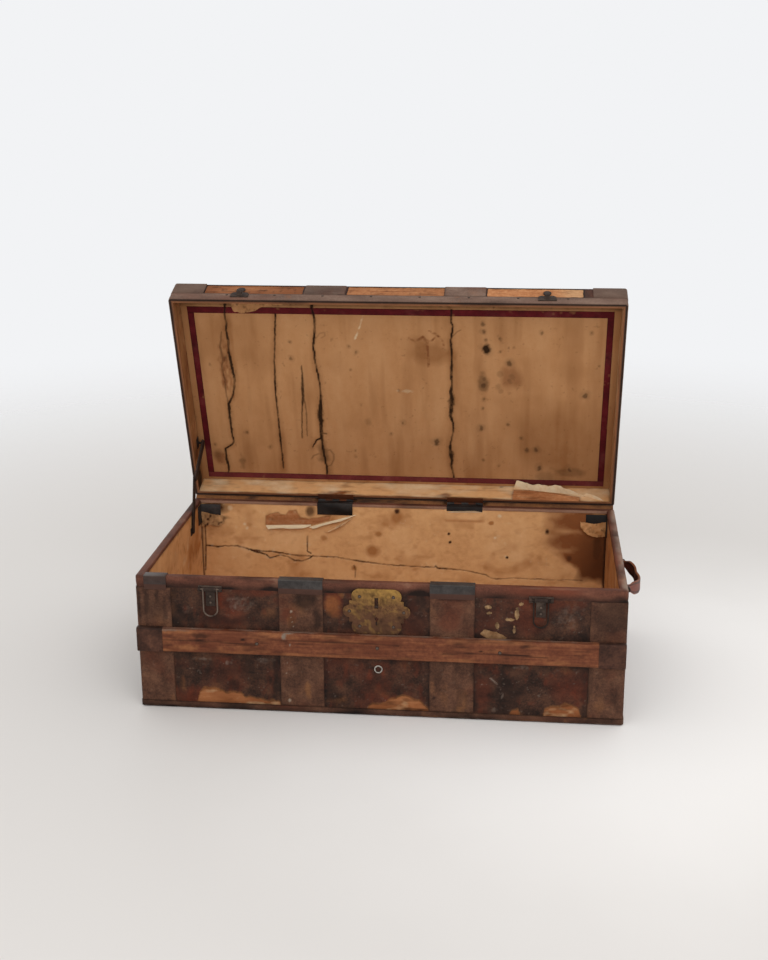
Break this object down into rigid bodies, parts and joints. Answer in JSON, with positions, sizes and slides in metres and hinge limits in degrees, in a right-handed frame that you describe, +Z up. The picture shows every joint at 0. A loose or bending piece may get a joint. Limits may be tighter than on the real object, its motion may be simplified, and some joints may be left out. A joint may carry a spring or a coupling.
{
  "type": "travelling trunk",
  "caption": "Low flat-top travelling trunk with an open hinged lid, leather bands, a wooden slat, brass lock plate, wire-bail catches and leather end handles.",
  "frame": {"origin": "on the floor under the middle of the case", "axes": "+X along the length to the viewer's right, +Y from the lock side to the hinge side, +Z up"},
  "size_m": [0.979, 0.5564, 0.7438],
  "materials": {
    "pine": "bare pine",
    "painted_canvas": "worn paint",
    "lining_paper": "matte, stained",
    "maroon_tape": "matte",
    "brown_leather": "dry, scuffed",
    "rim_leather": "dry, scuffed",
    "handle_leather": "dry",
    "varnished_wood": "old varnish",
    "black_japan": "worn black japan",
    "tarnished_brass": "tarnished",
    "dark_iron": "rusty",
    "pale_steel": "dull"
  },
  "bodies": {
    "case": {"back_bands": "brown_leather", "back_slat": "varnished_wood", "base_binding": "brown_leather", "case_back_board": "pine", "case_canvas": "painted_canvas", "case_floor_board": "pine", "case_front_board": "pine", "case_hinge_leaves": "dark_iron", "case_left_board": "pine", "case_lining": "lining_paper", "case_right_board": "pine", "catch_rivets": "dark_iron", "corner_irons": "black_japan", "corner_leathers": "brown_leather", "front_bands": "brown_leather", "front_eyelet": "pale_steel", "front_slat": "varnished_wood", "hinge_pins": "dark_iron", "left_catch_plate": "dark_iron", "left_handle_lugs": "dark_iron", "lock_case": "dark_iron", "lock_plate": "tarnished_brass", "lock_rivets": "tarnished_brass", "right_catch_plate": "dark_iron", "right_handle_lugs": "dark_iron", "rim_binding": "rim_leather", "rim_clips": "black_japan", "slat_end_caps": "black_japan", "slat_nails": "dark_iron", "stay_case_bracket": "dark_iron"},
    "lid": {"lid_back_board": "pine", "lid_band_left": "brown_leather", "lid_band_right": "brown_leather", "lid_border_tape": "maroon_tape", "lid_canvas": "painted_canvas", "lid_corner_caps": "brown_leather", "lid_front_board": "pine", "lid_hinge_leaves": "dark_iron", "lid_left_board": "pine", "lid_lining": "lining_paper", "lid_nails": "dark_iron", "lid_right_board": "pine", "lid_rim_strip": "rim_leather", "lid_top_board_1": "pine", "lid_top_board_2": "pine", "lid_top_board_3": "pine", "lid_top_board_4": "pine", "lid_top_board_5": "pine", "left_hook": "dark_iron", "right_hook": "dark_iron", "stay_lid_bracket": "dark_iron"},
    "lock_bolt": {"lock_bolt": "dark_iron"},
    "left_bail": {"left_bail": "dark_iron"},
    "right_bail": {"right_bail": "dark_iron"},
    "left_handle": {"left_handle_strap": "handle_leather"},
    "right_handle": {"right_handle_strap": "handle_leather"},
    "stay_lower": {"stay_lower_arm": "dark_iron"},
    "stay_upper": {"stay_upper_arm": "dark_iron", "stay_knee_rivet": "dark_iron"}
  },
  "joints": [
    {"name": "lid_hinge", "type": "hinge", "parent": "case", "child": "lid", "pos_m": [0, 0.242, 0.2655], "axis": [1, 0, 0], "range_deg": [0, 72]},
    {"name": "stay_lower_swing", "type": "hinge", "parent": "case", "child": "stay_lower", "pos_m": [-0.433, 0.138, 0.222], "axis": [1, 0, 0], "range_deg": [0, 77.47]},
    {"name": "stay_upper_swing", "type": "hinge", "parent": "lid", "child": "stay_upper", "pos_m": [-0.43, 0.24529, 0.38644], "axis": [1, 0, 0], "range_deg": [-88.58, 0]},
    {"name": "left_bail_swing", "type": "hinge", "parent": "case", "child": "left_bail", "pos_m": [-0.31, -0.2427, 0.243], "axis": [-1, 0, 0], "range_deg": [0, 178]},
    {"name": "right_bail_swing", "type": "hinge", "parent": "case", "child": "right_bail", "pos_m": [0.296, -0.2427, 0.243], "axis": [-1, 0, 0], "range_deg": [0, 178]},
    {"name": "left_handle_swing", "type": "hinge", "parent": "case", "child": "left_handle", "pos_m": [-0.461, 0, 0.205], "axis": [0, 1, 0], "range_deg": [-42, 42]},
    {"name": "right_handle_swing", "type": "hinge", "parent": "case", "child": "right_handle", "pos_m": [0.461, 0, 0.205], "axis": [0, -1, 0], "range_deg": [-42, 42]},
    {"name": "lock_bolt_slide", "type": "slide", "parent": "case", "child": "lock_bolt", "axis": [1, 0, 0], "range_m": [0, 0.016]}
  ],
  "couplings": [
    {"joint": "stay_lower_swing", "follows": "lid_hinge", "ratio": 1.076},
    {"joint": "stay_upper_swing", "follows": "lid_hinge", "ratio": -1.2303}
  ]
}
